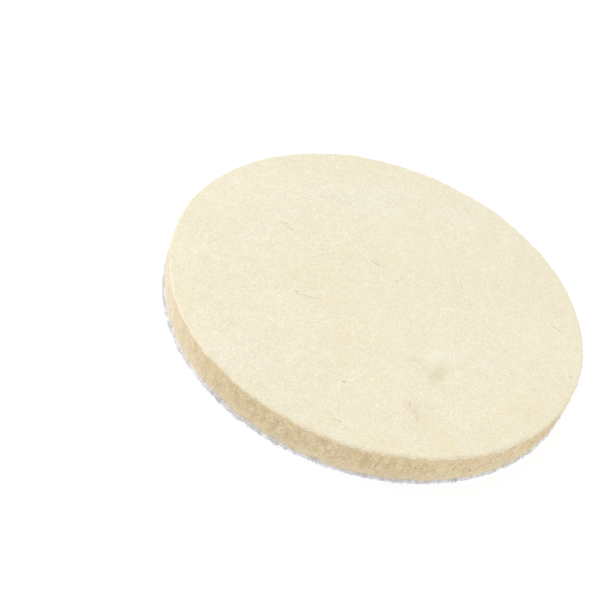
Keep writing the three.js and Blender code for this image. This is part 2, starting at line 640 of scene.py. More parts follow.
def felt_material(look):
    """Pressed wool: a cream skin on the working face, and tan felt where the wall is cut."""
    nodes = MaterialTree("wool_felt")
    place = nodes.place() * (1 / MM)
    x, y, z = nodes.split(place)
    bend = nodes.noise(place, 0.5, 1.0, output="Color") - (0.5, 0.5, 0.5)
    curled = place + bend * 3.0
    lines = [
        fibre_lines(nodes, curled, heading, width, length)
        for heading, width, length in ((12, 0.30, 2.6), (75, 0.34, 3.0), (131, 0.26, 2.2))
    ]
    fibres = (lines[0] + lines[1] + lines[2]) * (1 / 3)
    clouds = nodes.signed_noise(place, 0.035, 3.0, 0.6)
    mottles = nodes.signed_noise(place, 0.3, 3.0, 0.6)
    grain = nodes.signed_noise(place, 1.6, 2.0, 0.7)
    fine = nodes.signed_noise(place + (15.0, 0.0, 0.0), 2.7, 2.0, 0.8)
    patches = nodes.signed_noise(place - (70.0, 0.0, 0.0), 0.03, 2.0, 0.6)
    warm_fleck = nodes.signed_noise(place + (40.0, 0.0, 0.0), 0.9, 3.0, 0.8)
    cool_fleck = nodes.signed_noise(place + (0.0, 55.0, 0.0), 0.8, 3.0, 0.8)

    face_tone = clouds * 0.3 + mottles * 0.35 + grain * 1.2 + fine * 1.1 + (fibres - 0.5) * 1.1
    face = nodes.blend(nodes.step(face_tone, -1.25, 1.25), look["face_dark"], look["face_light"])
    # Painted shade: this slope makes the face warmer and darker towards +x and -y, the side away from the
    # light. The flecks and patches are the wool's own colour.
    painted_shade_slope = (x - y) * 0.0012
    warmth = nodes.step(warm_fleck + patches * 0.25 + painted_shade_slope, -0.45, 0.75, 0.0, 1.0)
    face = nodes.blend(warmth, face, look["face_warm"])
    face = nodes.blend(nodes.step(cool_fleck - patches * 0.2, -0.1, 0.75, 0.0, 0.8), face, look["face_cool"])
    ragged = (place + bend * 2.4 + grain * 0.8) * (1.0, 1.0, 0.0)
    for mark in FACE_MARKS:
        face = nodes.blend(face_spot(nodes, ragged, mark), face, look[mark.colour])

    streaks = nodes.signed_noise(place * (1.0, 1.0, 0.16), 1.1, 2.0, 0.6)
    wall_lumps = nodes.signed_noise(place, 0.45, 3.0, 0.6)
    cut_grain = nodes.signed_noise(place, 2.3, 2.0, 0.75)
    wall_tone = clouds * 0.5 + wall_lumps * 1.5 + cut_grain * 2.8 + streaks * 0.9
    cut = nodes.blend(nodes.step(wall_tone, -1.2, 1.2), look["wall_dark"], look["wall_light"])
    top_band = nodes.step(z + wall_lumps * 1.5, 8.6, 11.0, 0.0, 0.45)
    golden = nodes.step(warm_fleck * 0.9 + wall_lumps + top_band, 0.1, 1.1, 0.0, 0.85)
    cut = nodes.blend(golden, cut, look["wall_gold"])
    # Painted light: the wall is made paler towards its lower edge.
    painted_light_low = nodes.step(z + wall_lumps * 2.8, 6.0, 1.8, 0.0, 0.5)
    cut = nodes.blend(painted_light_low, cut, look["wall_pale"])
    ragged = place + bend * 1.6
    for mark in WALL_MARKS:
        cut = nodes.blend(wall_spot(nodes, ragged, mark), cut, look[mark.colour])

    skin = nodes.stored("skin")
    scallops = wall_lumps * 0.9 + streaks * 0.7 + cut_grain * 0.8
    off_face = nodes.step(skin, 0.97, 0.6)
    on_wall = nodes.step(FELT_HIGH.z / MM - z + scallops * 1.3, 0.1, 1.2) * off_face
    # A paler band round the worn edge: partly the cream skin that wraps over the rim, partly a painted
    # highlight that keeps the edge as bright as the face where it turns from the light.
    face = nodes.blend(nodes.step(skin, 0.97, 0.5, 0.0, 0.7), face, look["rim_pale"])
    relief = fibres * 0.5 + grain * 0.5 + fine * 0.4 + mottles * 0.2 + cut_grain * on_wall
    inputs = {
        "Base Color": nodes.blend(on_wall, face, cut),
        "Normal": nodes.bump(relief, 0.5, 0.13 * MM),
        "Roughness": 0.95,
        "Specular IOR Level": 0.2,
        "Sheen Weight": 0.12,
        "Sheen Roughness": 0.6,
    }
    return nodes.finish(inputs)


def thread_material(name, look, kind):
    """Fibres or threads, each a little lighter or darker than its neighbours."""
    nodes = MaterialTree(name)
    tone = nodes.stored("tint") * 0.7 + nodes.noise(nodes.place() * (1 / MM), 0.8, 1.0) * 0.3
    inputs = {
        "Base Color": nodes.blend(tone, look[kind + "_dark"], look[kind + "_light"]),
        "Roughness": 0.8,
        "Specular IOR Level": 0.3,
        "Sheen Weight": 0.1,
    }
    return nodes.finish(inputs)


def film_material(look):
    """Hot-melt glue: a satin, yellowish film with cloudy patches."""
    nodes = MaterialTree("hot_melt_film")
    patches = nodes.noise(nodes.place() * (1 / MM), 0.5, 2.0)
    inputs = {
        "Base Color": nodes.blend(patches, look["film_dark"], look["film_light"]),
        "Roughness": nodes.step(patches, 0.2, 0.8, 0.35, 0.6),
    }
    return nodes.finish(inputs)


def mat_material(look):
    """Loops matted together: fine upright strands, lighter where they stand out and darker between them,
    which is painted shade.
    """
    nodes = MaterialTree("matted_loops")
    place = nodes.place() * (1 / MM)
    strands = nodes.noise(place * (1.0, 1.0, 0.3), 4.5, 2.0, 0.6)
    tufts = nodes.noise(place, 1.1, 2.0, 0.7)
    # Painted shade: the tuft noise that raises the mat's relief also lightens the colour, so the hollows come
    # out darker.
    tone = strands * 0.5 + tufts * 0.5
    inputs = {
        "Base Color": nodes.blend(nodes.step(tone, 0.3, 0.7), look["loop_dark"], look["loop_light"]),
        "Normal": nodes.bump(tone, 0.6, 0.2 * MM),
        "Roughness": 0.9,
        "Sheen Weight": 0.1,
    }
    return nodes.finish(inputs)


def cloth_material(look, stitch):
    """Knitted ground cloth: rows of stitches, seen as ribs one way and bars the other."""
    nodes = MaterialTree("knit_cloth")
    place = nodes.place() * (1 / MM)
    x, y, _ = nodes.split(place)
    turn = math.tau / (stitch / MM)
    wale = nodes.maths("SINE", x * turn)
    course = nodes.maths("SINE", y * turn + wale * 0.8)
    weave = wale * 0.25 + course * 0.25 + 0.5
    patches = nodes.noise(place, 0.4, 2.0)
    tone = weave * 0.7 + patches * 0.3
    inputs = {
        "Base Color": nodes.blend(tone, look["loop_dark"], look["loop_light"]),
        "Normal": nodes.bump(weave, 0.6, 0.2 * MM),
        "Roughness": 0.85,
    }
    return nodes.finish(inputs)


# ---------------------------------------------------------------- geometry trees


def wandering_edge(tree, place, edge):
    """How far, in millimetres, a cut edge of that radius moves out or in. All layers share it."""
    x, y, _ = tree.split(place)
    outward = tree.join(x, y, 0.0)
    reach = tree.length(outward)
    slow = tree.signed_noise(outward, 0.06, 2.0)
    bites = tree.signed_noise(outward, 0.13, 3.0) * 1.2
    nibbles = tree.signed_noise(place * (1.0, 1.0, 0.6), 0.4, 2.0) * 0.75
    near_rim = tree.step(reach, edge - WANDER_STARTS, edge - WANDER_ENDS)
    wander = (slow + bites + nibbles - 0.3) * near_rim
    return outward * (wander / reach), reach


def felt_relief_tree():
    """Presses a smooth blank into felt: swells and grain on its face, tears down its cut wall."""
    heights = ("Swell Height", "Grain Height", "Tear Height", "Rim Wander", "Hem Wander", "Dent Depth")
    tree = GeometryTree("felt_relief", (*heights, "Radius", "Dent Width"), (), ("Dent Centre",))
    place = tree.position() * (1 / MM)
    normal = tree.normal()
    _, _, level = tree.split(place)
    _, _, tilt = tree.split(normal)
    near_top = tree.step(level, FELT_HIGH.z / MM - 3.0, FELT_HIGH.z / MM - 0.5)
    on_wall = tree.step(abs(tilt), 0.5, 0.1)

    swell = tree.signed_noise(place, 0.045, 2.0) * tree.given("Swell Height")
    lumps = tree.signed_noise(place, 0.2, 2.0) * tree.given("Swell Height") * 0.45
    grain = tree.signed_noise(place, 0.8, 2.0, 0.65) * tree.given("Grain Height")

    away = place - tree.given("Dent Centre") * (1 / MM)
    ragged = away + (tree.noise(place, 0.35, 2.0, output="Color") - (0.5, 0.5, 0.5)) * 3.5
    flat_away = ragged * (0.75, 1.0, 0.0)
    dent_shape = tree.step(tree.length(flat_away), tree.given("Dent Width") * (0.5 / MM), 0.0)
    dent = dent_shape * tree.given("Dent Depth")

    tears = tree.signed_noise(place * (1.0, 1.0, 0.14), 0.9, 2.0, 0.6) * tree.given("Tear Height")
    edge = tree.given("Radius") * (1 / MM)
    sideways, reach = wandering_edge(tree, place, edge)
    radial = sideways * tree.given("Rim Wander")
    at_hem = tree.step(reach, edge - 1.0, edge - 0.2) * on_wall
    hem = tree.signed_noise(place * (1.0, 1.0, 0.0), 0.5, 3.0, 0.7) * at_hem * tree.given("Hem Wander")
    low = tree.step(tilt, 0.3, -0.2)

    face_height = (swell + lumps + grain - dent) * near_top
    wall_height = (tears + grain) * on_wall
    skinned = tree.named(tree.given("Geometry"), "skin", tilt)
    offset = normal * wall_height + radial + tree.join(0.0, 0.0, face_height + hem * low)
    moved = tree.move(skinned, offset=offset)
    tree.finish(moved)
    return tree


def felt_fibre_tree():
    """Scatters curled fibres over felt. Each lies along the surface with its ends pressed in."""
    shape = ("Length", "Length Spread", "Thickness", "Curl", "Arch", "Loose End")
    tree = GeometryTree("felt_fibres", (*BED_INPUTS, *shape), ("Points", "Seed"))
    felt = tree.given("Geometry")
    seed = tree.given("Seed")
    points = tree.bed_points(seed)
    marked = tree.named(points, "tint", tree.random(0.0, 1.0, seed))
    marked = tree.named(marked, "phase", tree.random(0.0, 90.0, seed + 1.0))
    marked = tree.named(marked, "lift", tree.random(0.0, 1.0, seed + 2.0))
    fibre = tree.line((-0.5, 0.0, 0.0), (0.5, 0.0, 0.0), tree.given("Points"))
    spin = tree.about(UPWARDS, tree.random(0.0, math.tau, seed + 3.0))
    spread = tree.given("Length Spread")
    length = tree.given("Length") * tree.random(1.0 - spread, 1.0 + spread, seed + 4.0)
    facing = tree.turned(points.output("Rotation"), spin)
    curves = tree.on_points(marked, fibre, facing, tree.join(length, length, length))

    phase = tree.attribute("phase")
    wave = tree.node(
        "ShaderNodeTexNoise",
        {"noise_dimensions": "4D"},
        {"Vector": tree.position() * (1 / MM), "W": phase, "Scale": 0.45, "Detail": 1.0},
        "Color",
    )
    curls = (wave - (0.5, 0.5, 0.5)) * tree.given("Curl")
    curled = tree.move(curves, offset=curls)

    place = tree.position()
    nearest = tree.node("GeometryNodeProximity", {"target_element": "FACES"}, {0: felt}, "Position")
    outward = tree.node(
        "GeometryNodeSampleNearestSurface",
        {"data_type": "FLOAT_VECTOR"},
        {"Mesh": felt, "Value": tree.normal(), "Sample Position": place},
    )
    along = tree.node("GeometryNodeSplineParameter")
    lift = tree.attribute("lift")
    bow = (1.0 - (along * 2.0 - 1.0) ** 2.0) * tree.given("Arch") * (lift * 0.8 + 0.2)
    loose = along ** 3.0 * tree.given("Loose End") * lift ** 3.0
    height = bow + loose - tree.given("Thickness") * 0.6
    laid = tree.move(curled, position=nearest + outward * height)

    taper = 1.0 - abs(along * 2.0 - 1.0) ** 3.0 * 0.7
    radius = tree.given("Thickness") * 0.5 * taper * (tree.attribute("tint") * 0.5 + 0.75)
    tree.finish(tree.tube(laid, 3, radius))
    return tree


def speck_tree():
    """Scatters small dark flakes of straw and burr, pressed part of the way into the felt."""
    tree = GeometryTree("felt_specks", (*BED_INPUTS, "Size"), ("Seed",))
    seed = tree.given("Seed")
    points = tree.bed_points(seed)
    marked = tree.named(points, "tint", tree.random(0.0, 1.0, seed))
    flake = tree.node("GeometryNodeMeshIcoSphere", {}, {"Radius": 0.5, "Subdivisions": 2})
    spin = tree.about(UPWARDS, tree.random(0.0, math.tau, seed + 3.0))
    facing = tree.turned(points.output("Rotation"), spin)
    size = tree.given("Size") * (tree.random(0.25, 1.0, seed + 4.0) ** 2.0)
    scale = tree.join(size * tree.random(0.8, 2.4, seed + 5.0), size * 0.7, size * 0.5)
    tree.finish(tree.on_points(marked, flake, facing, scale))
    return tree


def matted_rim_tree():
    """Roughens a smooth ring into a mat of short tufts."""
    tree = GeometryTree("matted_rim", ("Tuft Height", "Rim Wander"))
    place = tree.position() * (1 / MM)
    tufts = tree.noise(place, 1.1, 2.0, 0.7) - 0.4
    strands = tree.signed_noise(place * (1.0, 1.0, 0.35), 2.6, 1.0) * 0.35
    height = (tufts * 1.6 + strands) * tree.given("Tuft Height")
    sideways, _ = wandering_edge(tree, place, CLOTH_RADIUS / MM)
    x, y, z = tree.split(place)
    side = (x * FLAT_SIDE[0] + y * FLAT_SIDE[1]) / (CLOTH_RADIUS / MM)
    raised = tree.step(side, 0.1, 0.95, 0.0, 0.4) * tree.step(z, CLOTH_LOW.z / MM, 0.3)
    offset = tree.normal() * height + tree.join(0.0, 0.0, raised * MM)
    offset = offset + sideways * tree.given("Rim Wander")
    moved = tree.move(tree.given("Geometry"), offset=offset)
    tree.finish(moved)
    return tree


def loop_curve(tree, steps, foot, belly):
    """One loop of thread that hangs from its two feet, one unit long."""
    curve = tree.line((0.0, 0.0, 0.0), (1.0, 0.0, 0.0), steps)
    along = tree.node("GeometryNodeSplineParameter")
    across = (along - 0.5) * foot - tree.maths("SINE", along * math.tau) * belly
    drop = tree.maths("SINE", along * math.pi)
    return tree.move(curve, position=tree.join(across, 0.0, drop * -1.0))


def loop_pile_tree():
    """Hangs loops of thread under the cloth, one to a stitch, each leaning its own way."""
    sizes = ("Pitch", "Reach", "Height", "Thickness", "Level")
    tree = GeometryTree("loop_pile", sizes, ("Seed",), ("Quarter",))
    seed = tree.given("Seed")
    reach = tree.given("Reach")
    pitch = tree.given("Pitch")
    count = tree.maths("CEIL", reach / pitch)
    grid = tree.node(
        "GeometryNodeMeshGrid",
        {},
        {"Size X": reach, "Size Y": reach, "Vertices X": count, "Vertices Y": count},
    )
    half = tree.given("Quarter") * (reach * 0.5)
    points = tree.node("GeometryNodeMeshToPoints", {"mode": "VERTICES"}, {"Mesh": grid})
    jitter = tree.join(
        tree.random(-0.35, 0.35, seed) * pitch, tree.random(-0.35, 0.35, seed + 1.0) * pitch, 0.0
    )
    level = tree.join(0.0, 0.0, tree.given("Level"))
    set_out = tree.move(points, offset=half + jitter + level)
    x, y, _ = tree.split(tree.position())
    outside = tree.length(tree.join(x, y, 0.0)) > reach
    surplus = {"Geometry": set_out, "Selection": outside}
    kept = tree.node("GeometryNodeDeleteGeometry", {"domain": "POINT"}, surplus)
    marked = tree.named(kept, "tint", tree.random(0.0, 1.0, seed + 2.0))
    loop = loop_curve(tree, 8, 0.55, 0.32)
    turn = tree.join(
        tree.random(-0.55, 0.55, seed + 3.0),
        tree.random(-0.45, 0.45, seed + 4.0),
        tree.random(-0.9, 0.9, seed + 5.0),
    )
    height = tree.given("Height") * tree.random(0.72, 1.0, seed + 6.0)
    curves = tree.on_points(marked, loop, turn, tree.join(height, height, height))
    tree.finish(tree.tube(curves, 3, tree.given("Thickness") * 0.5))
    return tree


def loop_fringe_tree():
    """Crowds loops round the cloth's cut edge, where they lean out and hang in uneven tufts."""
    sizes = ("Radius", "Depth", "Height", "Thickness", "Level")
    tree = GeometryTree("loop_fringe", sizes, ("Count", "Seed"))
    seed = tree.given("Seed")
    points = tree.node("GeometryNodePoints", {}, {"Count": tree.given("Count")})
    turn = tree.random(0.0, math.tau, seed)
    inset = tree.random(0.0, 1.0, seed + 1.0)
    radius = tree.given("Radius") - tree.given("Depth") * inset
    cosine = tree.maths("COSINE", turn)
    sine = tree.maths("SINE", turn)
    level = tree.given("Level") + tree.random(-0.15 * MM, 0.5 * MM, seed + 7.0)
    set_out = tree.move(points, position=tree.join(cosine * radius, sine * radius, level))
    marked = tree.named(set_out, "tint", tree.random(0.0, 1.0, seed + 2.0))
    marked = tree.named(marked, "turn", turn)
    marked = tree.named(marked, "inset", inset)
    tufts = tree.signed_noise(tree.position() * (1 / MM), 0.55, 2.0, 0.7)
    loop = loop_curve(tree, 7, 0.5, 0.3)
    lean = (1.0 - tree.attribute("inset")) * 0.5 + tree.random(-0.15, 0.45, seed + 3.0)
    spin = tree.about(UPWARDS, tree.attribute("turn") + tree.random(-0.9, 0.9, seed + 4.0))
    tip = tree.about((0.0, 1.0, 0.0), lean * -1.0)
    twist = tree.about(UPWARDS, tree.random(-1.5, 1.5, seed + 5.0))
    facing = tree.turned(tree.turned(spin, tip), twist)
    side = cosine * FLAT_SIDE[0] + sine * FLAT_SIDE[1]
    flattened = tree.step(side, 0.1, 0.95, 1.0, 0.6)
    height = tree.given("Height") * (tree.random(0.72, 1.05, seed + 6.0) + tufts * 0.45) * flattened
    curves = tree.on_points(marked, loop, facing, tree.join(height, height, height))
    tree.finish(tree.tube(curves, 3, tree.given("Thickness") * 0.5))
    return tree


# ---------------------------------------------------------------- settings


def colour(label, text, *shares):
    """A colour property, from its red, green and blue."""
    return bpy.props.FloatVectorProperty(
        name=label, description=text, default=(*shares, 1.0), size=4, subtype="COLOR", min=0.0, max=1.0
    )


def distance(label, text, default):
    """A length property, in metres."""
    return bpy.props.FloatProperty(
        name=label, description=text, default=default, unit="LENGTH", subtype="DISTANCE", precision=5
    )


def colours(group):
    """A group's colours, by their names."""
    kinds = group.bl_rna.properties
    names = [name for name in group.__annotations__ if kinds[name].subtype == "COLOR"]
    return {name: tuple(getattr(group, name)) for name in names}


class FeltWheelFelt(bpy.types.PropertyGroup):
    """Sizes and colours of the pressed felt disc."""

    edge_radius: distance("Edge radius", "How far the working edge is worn round", 0.45 * MM)
    swell_height: distance("Swell height", "How far the face rises and falls over its whole width", 0.2 * MM)
    grain_height: distance("Grain height", "How far single clumps of wool stand out", 0.05 * MM)
    tear_height: distance("Tear height", "How deep the die's upright tears in the wall are", 0.09 * MM)
    rim_wander: distance("Rim wander", "How far the cut edge wanders from a true circle", 0.42 * MM)
    hem_radius: distance("Hem radius", "How round the wall's lower edge is", 0.2 * MM)
    hem_wander: distance("Hem wander", "How uneven the wall's lower edge is", 0.3 * MM)
    dent_depth: distance("Dent depth", "How deep the dent in the working face is", 0.55 * MM)
    dent_width: distance("Dent width", "How wide the dent in the working face is", 9.0 * MM)
    face_light: colour("Face, light", "Lightest wool of the working face", 0.915, 0.89, 0.755)
    face_dark: colour("Face, dark", "Darkest wool of the working face", 0.655, 0.61, 0.465)
    face_warm: colour("Face, warm", "Yellower wool of the working face", 0.79, 0.675, 0.44)
    face_cool: colour("Face, cool", "Greyer wool of the working face", 0.80, 0.79, 0.69)
    # Partly the cream skin over the worn edge, partly a painted highlight.
    rim_pale: colour("Rim", "Combed-out wool at the worn edge", 0.96, 0.885, 0.70)
    wall_light: colour("Wall, light", "Lightest wool of the cut wall", 0.88, 0.745, 0.505)
    wall_dark: colour("Wall, dark", "Darkest wool of the cut wall", 0.60, 0.455, 0.245)
    wall_gold: colour("Wall, golden", "Golden patches of the cut wall", 0.80, 0.61, 0.335)
    # Painted light: the paler colour towards the wall's lower edge.
    wall_pale: colour("Wall, pale", "Wool near the wall's lower edge", 0.85, 0.755, 0.55)
    # Painted light: paler colour on the left of the wall, the side that faces the lamps.
    wall_faded: colour("Wall, faded", "Wool of the wall that daylight has bleached", 0.85, 0.78, 0.62)
    soil: colour("Soil", "Dirt in the dent", 0.62, 0.53, 0.34)
    bleach: colour("Bleach", "Wool that has been rubbed pale", 0.86, 0.835, 0.72)
    smoke: colour("Smoke", "Grey smudges", 0.64, 0.62, 0.51)
    rust: colour("Rust", "Reddish wool", 0.66, 0.50, 0.36)


class FeltWheelWool(bpy.types.PropertyGroup):
    """Sizes and colours of the fine wool fibres."""

    fibre_length: distance("Fibre length", "Length of a fibre that lies on the face", 2.8 * MM)
    fibre_thickness: distance("Fibre thickness", "Thickness of a clump of fibres", 0.052 * MM)
    fuzz_length: distance("Fuzz length", "Length of the fibres on the rim and the wall", 1.7 * MM)
    wool_light: colour("Wool, light", "Lightest fibre of the face", 0.87, 0.83, 0.69)
    wool_dark: colour("Wool, dark", "Darkest fibre of the face", 0.77, 0.70, 0.51)
    cut_light: colour("Cut wool, light", "Lightest fibre of the rim and the wall", 1.0, 0.91, 0.71)
    cut_dark: colour("Cut wool, dark", "Darkest fibre of the rim and the wall", 0.94, 0.81, 0.58)


class FeltWheelHairs(bpy.types.PropertyGroup):
    """Sizes and colours of the coarse hairs and the specks."""

    hair_thickness: distance("Hair thickness", "Thickness of a coarse hair", 0.06 * MM)
    speck_size: distance("Speck size", "Size of the largest speck of straw", 0.4 * MM)
    pale_light: colour("Pale hair, light", "Lightest white hair", 1.0, 1.0, 0.97)
    pale_dark: colour("Pale hair, dark", "Darkest white hair", 1.0, 0.99, 0.95)
    hair_light: colour("Dark hair, light", "Lightest brown hair", 0.66, 0.57, 0.43)
    hair_dark: colour("Dark hair, dark", "Darkest brown hair", 0.27, 0.20, 0.13)
    rust_light: colour("Rusty hair, light", "Lightest reddish hair", 0.70, 0.47, 0.33)
    rust_dark: colour("Rusty hair, dark", "Darkest reddish hair", 0.45, 0.25, 0.17)


class FeltWheelBacking(bpy.types.PropertyGroup):
    """Sizes and colours of the glue film, the cloth and its loops."""

    stitch: distance("Stitch", "Pitch of the cloth's stitches and of its loops", 0.95 * MM)
    loop_height: distance("Loop height", "How far a loop hangs below the cloth", 1.15 * MM)
    thread_thickness: distance("Thread thickness", "Thickness of a loop's thread", 0.11 * MM)
    tuft_height: distance("Tuft height", "How far tufts stand out of the matted edge", 0.26 * MM)
    loop_light: colour("Loops, light", "Lightest thread", 0.97, 0.96, 0.975)
    loop_dark: colour("Loops, dark", "Darkest thread", 0.85, 0.835, 0.86)
    film_light: colour("Film, light", "Clearest glue", 0.82, 0.76, 0.62)
    film_dark: colour("Film, dark", "Cloudiest glue", 0.66, 0.56, 0.38)


class FeltWheelStage(bpy.types.PropertyGroup):
    """The camera's place and the light."""

    eye_distance: distance("Eye distance", "From the middle of the working face to the camera", 294.4 * MM)
    eye_elevation: bpy.props.FloatProperty(
        name="Eye elevation",
        description="How far the camera looks down on the working face",
        default=math.radians(39.84),
        subtype="ANGLE",
    )
    camera_roll: bpy.props.FloatProperty(
        name="Camera roll",
        description="How far the camera's top leans to its own left",
        default=math.radians(18.6),
        subtype="ANGLE",
    )
    aim: bpy.props.FloatVectorProperty(
        name="Aim",
        description="The point of the working face that the camera looks at",
        default=(-19.5 * MM, -19.8 * MM),
        size=2,
        unit="LENGTH",
    )
    floor_colour: colour("Floor", "The floor's colour", 0.3, 0.3, 0.3)
    floor_glow: bpy.props.FloatProperty(name="Floor glow", description="The floor's own light", default=0.76)
    sun_strength: bpy.props.FloatProperty(name="Sun", description="The main light's strength", default=1.1)
    softbox_strength: bpy.props.FloatProperty(
        name="Softbox", description="The left softbox's power", default=0.4, unit="POWER"
    )
    sky_strength: bpy.props.FloatProperty(name="Sky", description="The light from all round", default=0.72)


# ---------------------------------------------------------------- pieces


def keep(piece, replaced=()):
    """Puts a finished piece on the wheel and hides the plain nodes that it stands for."""
    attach(piece, BODY)
    if replaced:
        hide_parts(*replaced)
    return piece


def felt_surface(context):
    """The finished felt's surface, to find the nearest point on."""
    return BVHTree.FromObject(bpy.data.objects["felt_body"], context.evaluated_depsgraph_get())


def strewn_on_felt(tree, name, bed, seed, values):
    """What a tree scatters over one bed of the finished felt."""
    values = {
        **values,
        "Density": bed.density * PER_SQUARE_MM,
        "Lowest Tilt": bed.lowest,
        "Highest Tilt": bed.highest,
        "Seed": seed,
    }
    felt = bpy.data.objects["felt_body"].data
    return keep(made_by(tree, name, felt.copy(), values))


def thin_layer(context, name, radius, top, bottom, material):
    """A thin round layer whose cut edge wanders as the felt's does."""
    soft = (top - bottom) * 0.3
    profile = [(radius - soft, top), (radius, top - soft), (radius, bottom + soft), (radius - soft, bottom)]
    profile += underside(radius, bottom)
    values = {
        "Rim Wander": context.scene.felt_wheel_felt.rim_wander,
        "Radius": radius,
        "Tear Height": 0.08 * MM,
        # The dent has no depth here, but its width can't be nothing.
        "Dent Width": MM,
        "Material": material,
    }
    return made_by(felt_relief_tree(), name, round_block(name, profile, LAYER_CELLS), values)


class FELTWHEEL_OT_stage(bpy.types.Operator):
    """Set up the camera, the floor and the studio light"""

    bl_idname = "felt_wheel.stage"
    bl_label = "Stage"

    def execute(self, context):
        look = context.scene.felt_wheel_stage
        self.add_camera(context, look)
        self.add_floor(context, look)
        self.add_light(context, look)
        context.scene.view_settings.view_transform = "Standard"
        context.scene.view_settings.look = "None"
        return {"FINISHED"}

    def add_camera(self, context, look):
        """A camera that looks along +Y and down, rolled to its left."""
        centre = Vector((0.0, 0.0, FELT_HIGH.z))
        rise = look.eye_elevation
        eye = centre + look.eye_distance * Vector((0.0, -math.cos(rise), math.sin(rise)))
        aim = Vector((look.aim[0], look.aim[1], FELT_HIGH.z))
        forward = (aim - eye).normalized()
        level = forward.cross(UPWARDS).normalized()
        upright = level.cross(forward)
        right = level * math.cos(look.camera_roll) + upright * math.sin(look.camera_roll)
        up = upright * math.cos(look.camera_roll) - level * math.sin(look.camera_roll)
        data = bpy.data.cameras.new("camera")
        data.lens = LENS_MM
        data.sensor_width = SENSOR_MM
        data.clip_start = 0.01
        data.clip_end = 100.0
        camera = bpy.data.objects.new("camera", data)
        turn = Matrix((right, up, -forward)).transposed().to_4x4()
        camera.matrix_world = Matrix.Translation(eye) @ turn
        context.scene.collection.objects.link(camera)
        context.scene.camera = camera

    def add_floor(self, context, look):
        """A pale floor that glows a little, as a light table does, and a plain backdrop far off."""
        grey = tuple(look.floor_colour)
        darker = (*(share * 0.99 for share in grey[:3]), 1.0)
        nodes = MaterialTree("floor")
        inputs = {
            "Base Color": nodes.blend(nodes.noise(nodes.place(), 3.0, 1.0), darker, grey),
            "Roughness": 0.9,
            "Specular IOR Level": 0.1,
            "Emission Color": WHITE,
            "Emission Strength": look.floor_glow,
        }
        floor = self.add_disc(context, "floor", FLOOR_REACH, FLOOR_LEVEL)
        floor.data.materials.append(nodes.finish(inputs))

        inputs = {
            "Base Color": BLACK,
            "Specular IOR Level": 0.0,
            "Emission Color": WHITE,
            "Emission Strength": 1.0,
        }
        bpy.ops.mesh.primitive_uv_sphere_add(segments=48, ring_count=24, radius=BACKDROP_REACH)
        backdrop = context.object
        backdrop.name = "backdrop"
        backdrop.data.materials.append(MaterialTree("backdrop").finish(inputs))
        backdrop.visible_diffuse = False
        backdrop.visible_glossy = False
        backdrop.visible_shadow = False
        backdrop.visible_transmission = False

    def add_disc(self, context, name, radius, level):
        """A flat disc that looks up."""
        turns = [math.tau * i / FLOOR_SIDES for i in range(FLOOR_SIDES)]
        corners = [(radius * math.cos(t), radius * math.sin(t), level) for t in turns]
        mesh = bpy.data.meshes.new(name)
        mesh.from_pydata(corners, [], [tuple(range(FLOOR_SIDES))])
        disc = bpy.data.objects.new(name, mesh)
        context.scene.collection.objects.link(disc)
        return disc

    def add_light(self, context, look):
        """A broad soft sun from the back left, a softbox on the left, a card on the right, and a sky."""
        sun = bpy.data.lights.new("sun", "SUN")
        sun.energy = look.sun_strength
        sun.angle = SUN_SPREAD
        self.aim_lamp(context, sun, SUN_SIDE, SUN_AWAY)
        softbox = bpy.data.lights.new("softbox", "AREA")
        softbox.shape = "DISK"
        softbox.size = LAMP_SIZE
        softbox.energy = look.softbox_strength
        self.aim_lamp(context, softbox, SOFTBOX_SIDE, LAMP_AWAY).visible_camera = False
        card = softbox.copy()
        card.name = "fill_card"
        card.energy = look.softbox_strength * FILL_SHARE
        self.aim_lamp(context, card, CARD_SIDE, LAMP_AWAY).visible_camera = False
        world = bpy.data.worlds.new("sky")
        world.use_nodes = True
        background = world.node_tree.nodes["Background"]
        background.inputs["Color"].default_value = WHITE
        background.inputs["Strength"].default_value = look.sky_strength
        context.scene.world = world

    def aim_lamp(self, context, light, direction, away):
        """A lamp on the side given, that distance from the wheel, and turned to face it."""
        lamp = bpy.data.objects.new(light.name, light)
        lamp.rotation_euler = direction.to_track_quat("Z", "Y").to_euler()
        lamp.location = direction.normalized() * away
        context.scene.collection.objects.link(lamp)
        return lamp


class FELTWHEEL_OT_felt(bpy.types.Operator):
    """Make the disc of pressed felt"""

    bl_idname = "felt_wheel.felt"
    bl_label = "Felt disc"

    def execute(self, context):
        look = context.scene.felt_wheel_felt
        top = FELT_HIGH.z
        bottom = FELT_LOW.z
        upper = look.edge_radius
        lower = look.hem_radius
        profile = arc(FELT_RADIUS - upper, top - upper, upper, 90, 0, 5)
        profile += wall(FELT_RADIUS, top - upper, bottom + lower, WALL_ROWS)
        profile += arc(FELT_RADIUS - lower, bottom + lower, lower, 0, -90, 2)
        profile += underside(FELT_RADIUS, bottom)
        values = {
            "Swell Height": look.swell_height,
            "Grain Height": look.grain_height,
            "Tear Height": look.tear_height,
            "Rim Wander": look.rim_wander,
            "Hem Wander": look.hem_wander,
            "Radius": FELT_RADIUS,
            "Dent Centre": DENT_CENTRE,
            "Dent Depth": look.dent_depth,
            "Dent Width": look.dent_width,
            "Material": felt_material(colours(look)),
        }
        blank = round_block("felt_blank", profile, FELT_CELLS)
        keep(made_by(felt_relief_tree(), "felt_body", blank, values), ["felt_disc"])
        return {"FINISHED"}


